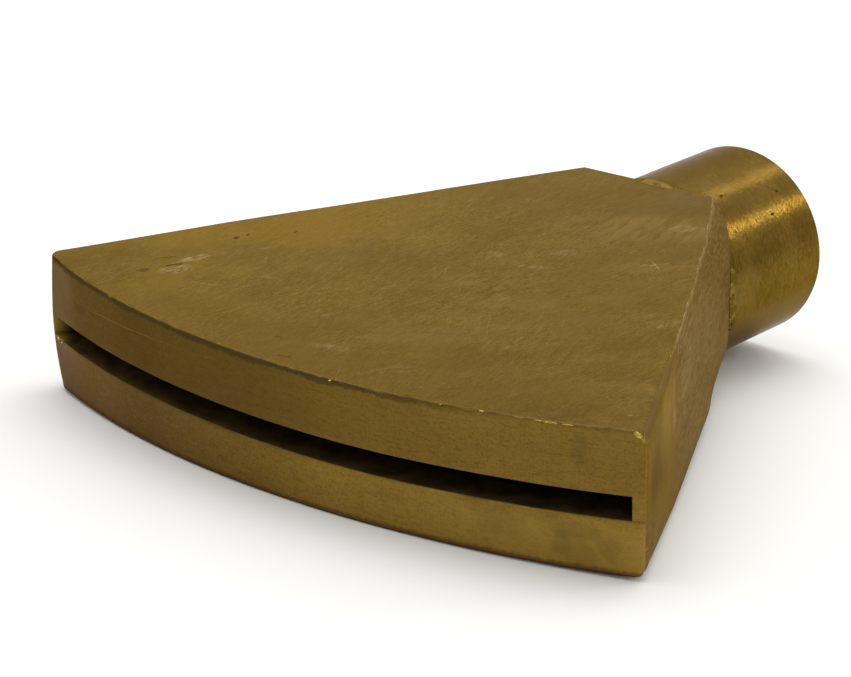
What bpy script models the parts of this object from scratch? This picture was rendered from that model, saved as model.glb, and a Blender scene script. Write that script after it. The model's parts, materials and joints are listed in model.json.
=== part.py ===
"""Brass fan nozzle: a flat wedge-shaped water box of brazed brass plates, with a long slot across its
curved front and a round threaded inlet socket behind.

The plates are laid out in the nozzle's own axes: the inlet axis runs along +Y, the slot faces -Y, and
y = 0 is the back face of the box, where the socket is brazed on. The empty "lying_down" then tips
everything nose-down by a few degrees, because the socket hangs below the box and the nozzle lies on the
socket's lower edge and the middle of its front edge. Units are metres, +Z is up.
"""
import math

import bmesh
import bpy
from mathutils import Vector

# Driving dimensions of the box
FRONT_WIDTH = 0.222  # straight across the two front corners
BACK_WIDTH = 0.0552
BOX_LENGTH = 0.149  # front corners to back face
FRONT_BULGE = 0.0227  # rise of the front arc beyond its chord
FRONT_HEIGHT = 0.0405  # at the front corners
TOP_RISE = 0.0047  # how much higher the top is at the back face
BOTTOM_DROP = 0.0070  # how much lower the bottom is at the back face

# Plates and the brazed joints between them
PLATE = 0.006
FRONT_PLATE = 0.012
ROOT_GAP = 0.003  # width of a brazed butt joint
CLEARANCE = 0.0003  # between neighbouring solids
CORNER_BEVEL_FRONT = 0.0008  # how far the long corner seams are ground off, at each end
CORNER_BEVEL_BACK = 0.0012
GROUND_CORNER_BACK = 0.0050  # the top right corner is ground off further

# Outlet slot
SLOT_BOTTOM = 0.0158  # above the front corners' lower edge
SLOT_HEIGHT = 0.0066
SLOT_END_LAND = 0.0040  # solid metal left beside each end of the slot

# Inlet socket, a 1 1/2 inch parallel pipe thread inside
SOCKET_RADIUS = 0.030
SOCKET_LENGTH = 0.0454
SOCKET_AXIS_HEIGHT = 0.0156  # above the front corners' lower edge
THROAT_RADIUS = 0.0200
THROAT_LENGTH = 0.010
THREAD_MINOR_RADIUS = 0.02245
THREAD_MAJOR_RADIUS = 0.0239
THREAD_PITCH = 0.00231
THREAD_TURNS = 8
THREAD_CREST = 0.0004
THREAD_TOOL_DEPTH = 0.0006  # how far the groove tool reaches into the bore
RELIEF_RADIUS = 0.0243
RELIEF_LENGTH = 0.006
RIM_CHAMFER = 0.0008
MOUTH_CHAMFER = 0.0016
# Braze beads between the back plate and the socket: height, leg, middle angle, reach either way in degrees
SOCKET_FILLETS = (("top", 0.0045, 45, 16), ("bottom", 0.0020, -44, 9))

# Smoothness of the curves
ARC_STEPS = 28
ROUND_STEPS = 48
THREAD_STEPS = 48
FILLET_STEPS = 8

# Worked out from the above
HALF_FRONT = FRONT_WIDTH / 2
HALF_BACK = BACK_WIDTH / 2
FRONT_RADIUS = (HALF_FRONT**2 + FRONT_BULGE**2) / (2 * FRONT_BULGE)
FRONT_CENTRE_Y = FRONT_RADIUS - BOX_LENGTH - FRONT_BULGE
SIDE_ANGLE = math.atan2(HALF_FRONT - HALF_BACK, BOX_LENGTH)
TOP_SLOPE = TOP_RISE / BOX_LENGTH
BOTTOM_SLOPE = -BOTTOM_DROP / BOX_LENGTH
TALL = 0.2  # prisms start this tall, and are then trimmed to the sloping faces
TOOL_OVERRUN = 0.004  # how far the slot cutter runs past the front plate
THROAT_TOOL_REACH = 0.02

PLATE_BRASS = (0.45, 0.34, 0.11, 1.0)
TURNED_BRASS = (0.62, 0.46, 0.13, 1.0)
BRAZE = (0.58, 0.46, 0.24, 1.0)


def new_collection(name):
    """An empty collection in the scene."""
    collection = bpy.data.collections.new(name)
    bpy.context.scene.collection.children.link(collection)
    return collection


def brass(name, colour, roughness):
    """One metal material for one piece."""
    material = bpy.data.materials.new(name)
    material.use_nodes = True
    shader = material.node_tree.nodes["Principled BSDF"]
    shader.inputs["Base Color"].default_value = colour
    shader.inputs["Metallic"].default_value = 1.0
    shader.inputs["Roughness"].default_value = roughness
    return material


# Plan outlines. A point is (x, y); offsets are measured inwards from the outer faces.
def side_x(y, inset):
    """Half width of the box at y, inside the side face by inset."""
    return HALF_BACK - y * math.tan(SIDE_ANGLE) - inset / math.cos(SIDE_ANGLE)


def front_corner(front_inset, side_inset):
    """Where the inset front arc meets the inset right side line."""
    radius = FRONT_RADIUS - front_inset
    start_x = side_x(0.0, side_inset)
    slope = -math.tan(SIDE_ANGLE)
    a = 1 + slope**2
    b = 2 * (start_x * slope - FRONT_CENTRE_Y)
    c = start_x**2 + FRONT_CENTRE_Y**2 - radius**2
    y = (-b - math.sqrt(b**2 - 4 * a * c)) / (2 * a)
    return side_x(y, side_inset), y


def front_arc(front_inset, side_inset, steps=ARC_STEPS):
    """Points on the inset front arc, from the left corner to the right one."""
    radius = FRONT_RADIUS - front_inset
    reach = math.asin(front_corner(front_inset, side_inset)[0] / radius)
    angles = [reach * (2 * k / steps - 1) for k in range(steps + 1)]
    return [(radius * math.sin(a), FRONT_CENTRE_Y - radius * math.cos(a)) for a in angles]


def arc_band(outer_inset, inner_inset, side_inset):
    """A strip that follows the front arc from side to side."""
    inner = front_arc(inner_inset, side_inset)
    return front_arc(outer_inset, side_inset) + inner[::-1]


def panel_outline(front_inset, back_inset, side_inset):
    """The whole width of the box between an inset front arc and a straight back edge."""
    half = side_x(-back_inset, side_inset)
    return front_arc(front_inset, side_inset) + [(half, -back_inset), (-half, -back_inset)]


def side_strip(side, front_inset, back_inset, outer_inset, inner_inset):
    """A strip along one side face, from an inset front arc to a straight back edge."""
    outline = [
        front_corner(front_inset, outer_inset),
        (side_x(-back_inset, outer_inset), -back_inset),
        (side_x(-back_inset, inner_inset), -back_inset),
        front_corner(front_inset, inner_inset),
    ]
    return [(side * x, y) for x, y in outline]


def back_strip(front_y, back_y, side_inset):
    """A straight strip across the box between two y values."""
    front_half, back_half = side_x(front_y, side_inset), side_x(back_y, side_inset)
    return [(-front_half, front_y), (front_half, front_y), (back_half, back_y), (-back_half, back_y)]


# Faces that trim a prism, each a point and a normal that points at what is cut away.
def top_face(depth=0.0):
    normal = Vector((0, -TOP_SLOPE, 1)).normalized()
    return Vector((0, 0, FRONT_HEIGHT + TOP_RISE)) - normal * depth, normal


def bottom_face(depth=0.0):
    normal = Vector((0, BOTTOM_SLOPE, -1)).normalized()
    return Vector((0, 0, -BOTTOM_DROP)) - normal * depth, normal


def opposite(face):
    """The same face, cutting on its other side."""
    point, normal = face
    return point, -normal


def corner_point(y, side, face, inset, depth):
    """A point near a long corner of the box: inset from the side face, depth from the top or bottom."""
    point, normal = face
    x = side_x(y, inset)
    z = point.z - (normal.y * (y - point.y)) / normal.z
    return Vector((side * x, y, z - math.copysign(depth, normal.z)))


def corner_bevel(side, face):
    """The flat ground along a long corner, growing from the front to the back."""
    front, back = -BOX_LENGTH, 0.0
    top_right = side > 0 and face[1].z > 0
    a = corner_point(front, side, face, CORNER_BEVEL_FRONT, 0.0)
    b = corner_point(front, side, face, 0.0, CORNER_BEVEL_FRONT)
    c = corner_point(back, side, face, GROUND_CORNER_BACK if top_right else CORNER_BEVEL_BACK, 0.0)
    normal = (b - a).cross(c - a).normalized()
    outwards = Vector((side, 0, math.copysign(1, face[1].z)))
    return a, normal if normal.dot(outwards) > 0 else -normal


def outline_curve(name, outline):
    """A filled flat curve, TALL thick, centred on z = 0."""
    curve = bpy.data.curves.new(name, "CURVE")
    curve.dimensions = "2D"
    curve.fill_mode = "BOTH"
    curve.extrude = TALL / 2
    spline = curve.splines.new("POLY")
    spline.points.add(len(outline) - 1)
    for point, (x, y) in zip(spline.points, outline):
        point.co = (x, y, 0, 1)
    spline.use_cyclic_u = True
    return curve


def mesh_of_curve(curve):
    """The curve's solid as a welded mesh."""
    holder = bpy.data.objects.new(curve.name, curve)
    bpy.context.scene.collection.objects.link(holder)
    graph = bpy.context.evaluated_depsgraph_get()
    mesh = bpy.data.meshes.new_from_object(holder.evaluated_get(graph))
    bpy.data.objects.remove(holder)
    bm = bmesh.new()
    bm.from_mesh(mesh)
    bmesh.ops.remove_doubles(bm, verts=bm.verts, dist=1e-6)
    bmesh.ops.dissolve_limit(bm, angle_limit=1e-4, verts=bm.verts, edges=bm.edges)
    bm.to_mesh(mesh)
    bm.free()
    return mesh


def trim(mesh, face):
    """Cuts away what lies beyond a face and closes the cut."""
    point, normal = face
    bm = bmesh.new()
    bm.from_mesh(mesh)
    everything = bm.verts[:] + bm.edges[:] + bm.faces[:]
    bmesh.ops.bisect_plane(bm, geom=everything, plane_co=point, plane_no=normal, clear_outer=True)
    rim = [edge for edge in bm.edges if edge.is_boundary]
    bmesh.ops.holes_fill(bm, edges=rim, sides=0)
    bmesh.ops.recalc_face_normals(bm, faces=bm.faces)
    bm.to_mesh(mesh)
    bm.free()


def add_piece(name, mesh, colour, roughness=0.4):
    """Makes the object for one piece, tipped with the rest of the nozzle."""
    mesh.name = name
    mesh.materials.clear()
    mesh.materials.append(brass(name, colour, roughness))
    piece = bpy.data.objects.new(name, mesh)
    nozzle.objects.link(piece)
    piece.parent = lying_down
    return piece


def slab(name, outline, faces, colour=PLATE_BRASS):
    """A plate or seam with upright edges, trimmed by sloping faces."""
    mesh = mesh_of_curve(outline_curve(name, outline))
    for face in faces:
        trim(mesh, face)
    return add_piece(name, mesh, colour)


def cut(piece, cutter):
    """Takes the cutter out of the piece and puts the cutter away."""
    for collection in list(cutter.users_collection):
        collection.objects.unlink(cutter)
    cutters.objects.link(cutter)
    cutter.parent = lying_down
    cutter.hide_render = True
    cutter.display_type = "WIRE"
    boolean = piece.modifiers.new(cutter.name, "BOOLEAN")
    boolean.operation = "DIFFERENCE"
    boolean.object = cutter


def turned(name, profile, steps=ROUND_STEPS):
    """A body turned about the inlet axis. The closed profile is (radius, y), down the outside first."""
    mesh = bpy.data.meshes.new(name)
    bm = bmesh.new()
    ring = [bm.verts.new((radius, 0, -y)) for radius, y in profile]
    for k, vert in enumerate(ring):
        bm.edges.new((vert, ring[(k + 1) % len(ring)]))
    bm.to_mesh(mesh)
    bm.free()
    piece = bpy.data.objects.new(name, mesh)
    # the profile's axis is Z, which this turns onto +Y
    piece.rotation_euler = (math.radians(90), 0, 0)
    piece.location = (0, 0, SOCKET_AXIS_HEIGHT)
    screw = piece.modifiers.new("Turn", "SCREW")
    screw.axis = "Z"
    screw.angle = math.tau
    screw.steps = steps
    screw.render_steps = steps
    screw.use_merge_vertices = True
    screw.merge_threshold = 1e-5
    screw.use_smooth_shade = True
    return piece


# The pieces
def front_plate():
    """The curved front bar with the outlet slot milled through it."""
    plate = slab("front_plate", arc_band(0, FRONT_PLATE, 0), [top_face(), bottom_face()])
    outline = arc_band(-TOOL_OVERRUN, FRONT_PLATE + TOOL_OVERRUN, SLOT_END_LAND)
    mesh = mesh_of_curve(outline_curve("slot_cutter", outline))
    up, down = Vector((0, 0, 1)), Vector((0, 0, -1))
    trim(mesh, (Vector((0, 0, SLOT_BOTTOM + SLOT_HEIGHT)), up))
    trim(mesh, (Vector((0, 0, SLOT_BOTTOM)), down))
    slot = bpy.data.objects.new("slot_cutter", mesh)
    cut(plate, slot)


def back_plate():
    """The plate that closes the narrow end, with the round throat hole."""
    faces = [top_face(), bottom_face()]
    faces += [corner_bevel(side, face) for side in (-1, 1) for face in faces[:2]]
    plate = slab("back_plate", back_strip(-PLATE, 0, 0), faces)
    reach = THROAT_TOOL_REACH
    hole = turned("throat_cutter", [(THROAT_RADIUS, -reach), (THROAT_RADIUS, reach), (0, reach), (0, -reach)])
    cut(plate, hole)


def panels():
    """The top and bottom plates and the two side plates."""
    front = FRONT_PLATE + ROOT_GAP + CLEARANCE
    back = PLATE + ROOT_GAP + CLEARANCE
    broad = panel_outline(front, back, PLATE)
    slab("top_plate", broad, [top_face(), opposite(top_face(PLATE))])
    slab("bottom_plate", broad, [bottom_face(), opposite(bottom_face(PLATE))])
    between = [top_face(PLATE + CLEARANCE), bottom_face(PLATE + CLEARANCE)]
    for word, side in (("left", -1), ("right", 1)):
        slab(f"{word}_side_plate", side_strip(side, front, back, 0, PLATE), between)


def corner_seams():
    """The braze that fills the four long open corners, ground off at a bevel."""
    inner = PLATE - CLEARANCE
    for height, face in (("top", top_face), ("bottom", bottom_face)):
        for word, side in (("left", -1), ("right", 1)):
            outline = side_strip(side, FRONT_PLATE + CLEARANCE, PLATE + CLEARANCE, 0, inner)
            faces = [face(), opposite(face(inner)), corner_bevel(side, face())]
            slab(f"{height}_{word}_corner_seam", outline, faces, BRAZE)


def butt_seams():
    """The braze between the panels and the front and back plates."""
    front = FRONT_PLATE + CLEARANCE
    front_end = FRONT_PLATE + ROOT_GAP
    back = PLATE + CLEARANCE
    back_end = PLATE + ROOT_GAP
    for height, face in (("top", top_face), ("bottom", bottom_face)):
        depth = [face(), opposite(face(PLATE))]
        slab(f"{height}_front_seam", arc_band(front, front_end, PLATE), depth, BRAZE)
        slab(f"{height}_back_seam", back_strip(-back_end, -back, PLATE), depth, BRAZE)
    between = [top_face(PLATE + CLEARANCE), bottom_face(PLATE + CLEARANCE)]
    for word, side in (("left", -1), ("right", 1)):
        near_front = [front_corner(front, 0), front_corner(front_end, 0)]
        near_front += [front_corner(front_end, PLATE), front_corner(front, PLATE)]
        slab(f"{word}_front_seam", [(side * x, y) for x, y in near_front], between, BRAZE)
        near_back = [(side_x(-back_end, 0), -back_end), (side_x(-back, 0), -back)]
        near_back += [(side_x(-back, PLATE), -back), (side_x(-back_end, PLATE), -back_end)]
        slab(f"{word}_back_seam", [(side * x, y) for x, y in near_back], between, BRAZE)


def thread_cutter():
    """A helical groove tool with flat sides inside the bore and a V beyond it."""
    half_open = (THREAD_PITCH - THREAD_CREST) / 2
    inside = THREAD_MINOR_RADIUS - THREAD_TOOL_DEPTH
    root = THREAD_CREST / 2
    section = [(inside, -half_open), (THREAD_MINOR_RADIUS, -half_open), (THREAD_MAJOR_RADIUS, -root)]
    section += [(radius, -y) for radius, y in section[::-1]]
    mesh = bpy.data.meshes.new("thread_cutter")
    bm = bmesh.new()
    start = SOCKET_LENGTH - THREAD_PITCH * (THREAD_TURNS - 0.5)
    rings = []
    for k in range(THREAD_STEPS * THREAD_TURNS + 1):
        angle = math.tau * k / THREAD_STEPS
        y0 = start + THREAD_PITCH * k / THREAD_STEPS
        spoke = Vector((math.cos(angle), 0, math.sin(angle)))
        rings.append([bm.verts.new(spoke * radius + Vector((0, y0 + y, 0))) for radius, y in section])
    count = len(section)
    for ring, following in zip(rings, rings[1:]):
        for k in range(count):
            bm.faces.new((ring[k], ring[(k + 1) % count], following[(k + 1) % count], following[k]))
    bm.faces.new(rings[0][::-1])
    bm.faces.new(rings[-1])
    bmesh.ops.recalc_face_normals(bm, faces=bm.faces)
    bm.to_mesh(mesh)
    bm.free()
    cutter = bpy.data.objects.new("thread_cutter", mesh)
    cutter.location = (0, 0, SOCKET_AXIS_HEIGHT)
    return cutter


def inlet_socket():
    """The turned socket: plain outside, threaded inside, with a narrower throat at the box."""
    relief_end = THROAT_LENGTH + RELIEF_LENGTH
    start, end = CLEARANCE, SOCKET_LENGTH
    profile = [
        (SOCKET_RADIUS, start),
        (SOCKET_RADIUS, end - RIM_CHAMFER),
        (SOCKET_RADIUS - RIM_CHAMFER, end),
        (THREAD_MINOR_RADIUS + MOUTH_CHAMFER, end),
        (THREAD_MINOR_RADIUS, end - MOUTH_CHAMFER),
        (THREAD_MINOR_RADIUS, relief_end),
        (RELIEF_RADIUS, relief_end),
        (RELIEF_RADIUS, THROAT_LENGTH),
        (THROAT_RADIUS, THROAT_LENGTH),
        (THROAT_RADIUS, start),
    ]
    socket = turned("inlet_socket", profile)
    nozzle.objects.link(socket)
    socket.parent = lying_down
    socket.data.materials.append(brass("inlet_socket", TURNED_BRASS, 0.3))
    cut(socket, thread_cutter())


def socket_fillets():
    """The braze left in the four corners between the back plate and the round socket."""
    for height, leg, middle, reach in SOCKET_FILLETS:
        for word, side in (("left", -1), ("right", 1)):
            inner = SOCKET_RADIUS + CLEARANCE
            section = [(inner, CLEARANCE), (inner + leg, CLEARANCE), (inner, CLEARANCE + leg)]
            bm = bmesh.new()
            rings = []
            for k in range(FILLET_STEPS + 1):
                angle = math.radians(middle + reach * (2 * k / FILLET_STEPS - 1))
                spoke = Vector((side * math.cos(angle), 0, math.sin(angle)))
                rings.append([bm.verts.new(spoke * radius + Vector((0, y, 0))) for radius, y in section])
            for ring, following in zip(rings, rings[1:]):
                for k in range(3):
                    bm.faces.new((ring[k], ring[(k + 1) % 3], following[(k + 1) % 3], following[k]))
            bm.faces.new(rings[0][::-1])
            bm.faces.new(rings[-1])
            bmesh.ops.recalc_face_normals(bm, faces=bm.faces)
            mesh = bpy.data.meshes.new("fillet")
            bm.to_mesh(mesh)
            bm.free()
            fillet = add_piece(f"{height}_{word}_socket_fillet", mesh, BRAZE)
            fillet.location = (0, 0, SOCKET_AXIS_HEIGHT)


def lay_down(empty):
    """Tips the nozzle onto its socket and front edge, with the origin under the middle of its box."""
    front_y = -BOX_LENGTH - FRONT_BULGE
    front_bottom = -BOTTOM_DROP + front_y * BOTTOM_SLOPE
    front_top = FRONT_HEIGHT + TOP_RISE + front_y * TOP_SLOPE
    socket_bottom = SOCKET_AXIS_HEIGHT - SOCKET_RADIUS
    tip = math.atan2(front_bottom - socket_bottom, CLEARANCE - front_y)
    foremost = front_y * math.cos(tip) - front_top * math.sin(tip)
    hindmost = SOCKET_LENGTH * math.cos(tip) - (socket_bottom + RIM_CHAMFER) * math.sin(tip)
    lowest = CLEARANCE * math.sin(tip) + socket_bottom * math.cos(tip)
    empty.rotation_euler = (tip, 0, 0)
    empty.location = (0, -(foremost + hindmost) / 2, -lowest)


for leftover in list(bpy.data.objects):
    bpy.data.objects.remove(leftover)
nozzle = new_collection("fan_nozzle")
cutters = new_collection("cutters")
lying_down = bpy.data.objects.new("lying_down", None)
nozzle.objects.link(lying_down)
lay_down(lying_down)

front_plate()
back_plate()
panels()
corner_seams()
butt_seams()
inlet_socket()
socket_fillets()
bpy.context.view_layer.update()
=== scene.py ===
"""Looks of the brass fan nozzle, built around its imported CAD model.

Every piece's mesh is in the nozzle's own axes: inlet axis along +Y, slot facing -Y, y = 0 at the
back face of the box. Its object carries the small tip that lays the nozzle down. So a material's
object coordinates are the nozzle's own axes too, and a pattern runs on from piece to piece.
"""
import json
import math

import bmesh
import bpy
from mathutils import Matrix, Vector, noise


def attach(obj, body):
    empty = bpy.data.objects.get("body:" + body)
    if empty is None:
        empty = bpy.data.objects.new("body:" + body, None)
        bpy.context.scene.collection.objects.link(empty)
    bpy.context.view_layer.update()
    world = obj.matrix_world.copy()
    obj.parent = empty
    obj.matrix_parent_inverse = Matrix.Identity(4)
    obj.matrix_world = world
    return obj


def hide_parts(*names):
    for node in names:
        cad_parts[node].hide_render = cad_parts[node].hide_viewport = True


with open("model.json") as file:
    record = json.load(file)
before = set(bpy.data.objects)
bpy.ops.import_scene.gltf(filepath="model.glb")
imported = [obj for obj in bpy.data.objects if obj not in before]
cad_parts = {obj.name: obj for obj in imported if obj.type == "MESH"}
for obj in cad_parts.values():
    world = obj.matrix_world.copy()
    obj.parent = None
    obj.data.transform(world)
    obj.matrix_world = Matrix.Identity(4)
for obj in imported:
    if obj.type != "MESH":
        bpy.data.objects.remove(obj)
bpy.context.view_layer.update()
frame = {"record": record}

noise.seed_set(1)  # without a seed, noise_vector starts from the clock

# The nozzle's dimensions, in its own axes, as the CAD model has them
FRONT_WIDTH = 0.222
BACK_WIDTH = 0.0552
BOX_LENGTH = 0.149
FRONT_BULGE = 0.0227
FRONT_HEIGHT = 0.0405
TOP_RISE = 0.0047
BOTTOM_DROP = 0.0070
PLATE = 0.006
FRONT_PLATE = 0.012
ROOT_GAP = 0.003
SLOT_BOTTOM = 0.0158
SLOT_HEIGHT = 0.0066
SLOT_END_LAND = 0.0040
SOCKET_RADIUS = 0.030
SOCKET_LENGTH = 0.0454
SOCKET_AXIS_HEIGHT = 0.0156
THROAT_RADIUS = 0.0200
THROAT_LENGTH = 0.010
THREAD_MINOR_RADIUS = 0.02245
THREAD_MAJOR_RADIUS = 0.0239
THREAD_PITCH = 0.00231
RELIEF_RADIUS = 0.0243
RELIEF_LENGTH = 0.006
RIM_CHAMFER = 0.0008
MOUTH_CHAMFER = 0.0016
RIM_MOUNT_RADIUS = 0.0268  # where the record's inlet_rim mount sits on the rim

HALF_FRONT = FRONT_WIDTH / 2
HALF_BACK = BACK_WIDTH / 2
FRONT_RADIUS = (HALF_FRONT**2 + FRONT_BULGE**2) / (2 * FRONT_BULGE)
FRONT_CENTRE_Y = FRONT_RADIUS - BOX_LENGTH - FRONT_BULGE
SIDE_ANGLE = math.atan2(HALF_FRONT - HALF_BACK, BOX_LENGTH)
TOP_SLOPE = TOP_RISE / BOX_LENGTH
BOTTOM_SLOPE = -BOTTOM_DROP / BOX_LENGTH

# How the right side is ground away towards the back, beyond its flat face
GROUND_TOP = 0.0042
GROUND_TOP_CORNER = 0.0023
GROUND_TOP_HEIGHT_FRONT = 0.0025
GROUND_TOP_HEIGHT_BACK = 0.0175
GROUND_BOTTOM = 0.0050
GROUND_BOTTOM_REACH = 0.037
GROUND_BOTTOM_HEIGHT = 0.006
SIDE_CROWN = 0.0007
CROWN_MIDDLE = 0.019  # height of the crown's middle
CROWN_HALF = 0.022  # half its height
GROUND_DEPTH = 0.020  # how far inside the box the shape still gives way

# How far the box's edges are rounded by hand near the front
UPRIGHT_RIGHT = 0.0018
UPRIGHT_LEFT = 0.0050
UPRIGHT_LEFT_FOOT = 0.0072  # added at the foot of the left corner
TOP_RIGHT_EDGE = 0.0042
BOTTOM_RIGHT_EDGE = 0.0042
BOTTOM_LEFT_EDGE = 0.0058
LEFT_LEAN = 0.0018  # how far the left side leans in at the front's top
ROUNDED_FROM = 0.100  # distance in front of the back face where the rounding begins
TOP_RIGHT_FROM = 0.080  # the same for the top right edge
ROUNDED_WITHIN = 0.045  # length over which it reaches its full size
FOOT_HEIGHT = 0.022  # height below which the left corner's foot is rounder

# Wear of the edges
NICKED_WIDTH = 0.0016
NICK_DEPTH = 0.0008
WAVER_WIDTH = 0.0030
WAVER = 0.0007

# Fineness of the meshes
ARC_STEPS = 200
GRID = Vector((0.005, 0.005, 0.0022))
BAR_GRID = Vector((0.005, 0.0012, 0.0022))
TALL = 0.2  # of the solids that the faces trim
EDGE_ROUNDING = 0.0009
SLIGHT_ROUNDING = 0.45  # share of EDGE_ROUNDING
SLOT_ROUNDING = 0.25  # share of EDGE_ROUNDING
EDGE_CUTS = (0.0008, 0.0017, 0.0028, 0.0042, 0.0058)  # depths of extra cuts beside rounded edges
FACE_SLACK = 0.0004  # how far a polygon may lie from a face and still belong to it
MARK_DEPTH = 0.02  # how far the marks on the top reach up and down

# Camera, in the row frame
CAMERA_AIM = Vector((-0.02034, -0.02068, 0.02170))
CAMERA_DISTANCE = 0.9054
CAMERA_AZIMUTH = 40.49
CAMERA_ELEVATION = 16.91
CAMERA_ROLL = 2.46
CAMERA_LENS = 131.1
CAMERA_SENSOR = 36.0
STRIP_COLOUR = (1.0, 0.98, 0.76)  # of the two lights that make the bands on the socket


def lying_matrix():
    """The nozzle's own axes in the row frame, read from the rim mount."""
    rim = next(m for m in frame["record"]["mounts"] if m["name"] == "inlet_rim")
    axis = Vector(rim["axis"])
    turn = Matrix.Rotation(math.atan2(axis.z, axis.y), 4, "X")
    local = Vector((0, SOCKET_LENGTH, SOCKET_AXIS_HEIGHT + RIM_MOUNT_RADIUS))
    return Matrix.Translation(Vector(rim["pos_m"]) - turn @ local) @ turn


LYING = lying_matrix()


# Plan outlines
def side_x(y, inset):
    """Half width of the box at y, inside the side face by inset."""
    return HALF_BACK - y * math.tan(SIDE_ANGLE) - inset / math.cos(SIDE_ANGLE)


def front_y(x):
    """Where the front face is at x."""
    return FRONT_CENTRE_Y - math.sqrt(FRONT_RADIUS**2 - x**2)


def front_corner(front_inset, side_inset):
    """Where the inset front arc meets the inset right side line."""
    radius = FRONT_RADIUS - front_inset
    start_x = side_x(0.0, side_inset)
    slope = -math.tan(SIDE_ANGLE)
    a = 1 + slope**2
    b = 2 * (start_x * slope - FRONT_CENTRE_Y)
    c = start_x**2 + FRONT_CENTRE_Y**2 - radius**2
    y = (-b - math.sqrt(b**2 - 4 * a * c)) / (2 * a)
    return side_x(y, side_inset), y


def front_arc(front_inset, side_inset, steps=ARC_STEPS):
    """Points on the inset front arc, from the left corner to the right one."""
    radius = FRONT_RADIUS - front_inset
    reach = math.asin(front_corner(front_inset, side_inset)[0] / radius)
    angles = [reach * (2 * k / steps - 1) for k in range(steps + 1)]
    return [(radius * math.sin(a), FRONT_CENTRE_Y - radius * math.cos(a)) for a in angles]


def arc_band(outer_inset, inner_inset, side_inset):
    """A strip that follows the front arc from side to side."""
    inner = front_arc(inner_inset, side_inset)
    return front_arc(outer_inset, side_inset) + inner[::-1]


def panel_outline(front_inset, back_inset, side_inset):
    """The whole width of the box between an inset front arc and a straight back edge."""
    half = side_x(-back_inset, side_inset)
    return front_arc(front_inset, side_inset) + [(half, -back_inset), (-half, -back_inset)]


def side_strip(side, front_inset, back_inset, outer_inset, inner_inset):
    """A strip along one side face, from an inset front arc to a straight back edge."""
    outline = [
        front_corner(front_inset, outer_inset),
        (side_x(-back_inset, outer_inset), -back_inset),
        (side_x(-back_inset, inner_inset), -back_inset),
        front_corner(front_inset, inner_inset),
    ]
    return [(side * x, y) for x, y in outline]


def back_strip(start, end, side_inset):
    """A straight strip across the box between two y values."""
    wide, narrow = side_x(start, side_inset), side_x(end, side_inset)
    return [(-wide, start), (wide, start), (narrow, end), (-narrow, end)]


# Trimming faces
def top_height(y):
    return FRONT_HEIGHT + TOP_RISE + TOP_SLOPE * y


def top_face(depth=0.0):
    normal = Vector((0, -TOP_SLOPE, 1)).normalized()
    return Vector((0, 0, top_height(0))) - normal * depth, normal


def bottom_face(depth=0.0):
    normal = Vector((0, BOTTOM_SLOPE, -1)).normalized()
    return Vector((0, 0, -BOTTOM_DROP)) - normal * depth, normal


def side_face(side, depth=0.0):
    normal = Vector((side * math.cos(SIDE_ANGLE), math.sin(SIDE_ANGLE), 0))
    return Vector((side * HALF_BACK, 0, 0)) - normal * depth, normal


def opposite(face):
    point, normal = face
    return point, -normal


# Mesh tools
def prism(outline):
    """A tall solid over a plan outline."""
    bm = bmesh.new()
    ring = [bm.verts.new((x, y, -TALL / 2)) for x, y in outline]
    base = bm.faces.new(ring)
    lifted = bmesh.ops.extrude_face_region(bm, geom=[base])
    tops = [v for v in lifted["geom"] if isinstance(v, bmesh.types.BMVert)]
    bmesh.ops.translate(bm, verts=tops, vec=(0, 0, TALL))
    bmesh.ops.recalc_face_normals(bm, faces=bm.faces)
    return bm


def trim(bm, face):
    """Cuts away what lies beyond a face and closes the cut."""
    point, normal = face
    everything = bm.verts[:] + bm.edges[:] + bm.faces[:]
    bmesh.ops.bisect_plane(bm, geom=everything, plane_co=point, plane_no=normal, clear_outer=True)
    rim = [edge for edge in bm.edges if edge.is_boundary]
    bmesh.ops.holes_fill(bm, edges=rim, sides=0)
    bmesh.ops.recalc_face_normals(bm, faces=bm.faces)


def object_from(bm, name):
    """Links a new object that holds the mesh, in the nozzle's own axes."""
    mesh = bpy.data.meshes.new(name)
    bm.to_mesh(mesh)
    bm.free()
    piece = bpy.data.objects.new(name, mesh)
    bpy.context.scene.collection.objects.link(piece)
    return piece


def apply_modifiers(piece):
    """Replaces the mesh by what its modifiers make of it."""
    graph = bpy.context.evaluated_depsgraph_get()
    mesh = bpy.data.meshes.new_from_object(piece.evaluated_get(graph))
    piece.modifiers.clear()
    piece.data = mesh


def subtract(piece, cutter):
    """Takes the cutter out of the piece and deletes the cutter."""
    boolean = piece.modifiers.new("Cut", "BOOLEAN")
    boolean.operation = "DIFFERENCE"
    boolean.object = cutter
    apply_modifiers(piece)
    bpy.data.objects.remove(cutter)


def hull_depths(point):
    """Depths of a point below the top, bottom, side, front and back faces."""
    top_point, top_normal = top_face()
    bottom_point, bottom_normal = bottom_face()
    radius = math.hypot(point.x, point.y - FRONT_CENTRE_Y)
    return (
        (top_point - point).dot(top_normal),
        (bottom_point - point).dot(bottom_normal),
        (side_x(point.y, 0) - abs(point.x)) * math.cos(SIDE_ANGLE),
        FRONT_RADIUS - radius,
        -point.y,
    )


def face_kind(face):
    """The outer face of the box that a polygon belongs to, or none."""
    centre = face.calc_center_median()
    normal = face.normal
    top, bottom, side, front, back = hull_depths(centre)
    outwards = Vector((centre.x, centre.y - FRONT_CENTRE_Y, 0)).normalized()
    if abs(top) < FACE_SLACK and normal.z > 0.8:
        return "top"
    if abs(bottom) < FACE_SLACK and normal.z < -0.8:
        return "bottom"
    if abs(side) < FACE_SLACK and abs(normal.x) > 0.7:
        return "side"
    if abs(front) < FACE_SLACK and normal.dot(outwards) > 0.8:
        return "front"
    if abs(back) < FACE_SLACK and normal.y > 0.8:
        return "back"
    return "none"


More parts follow.
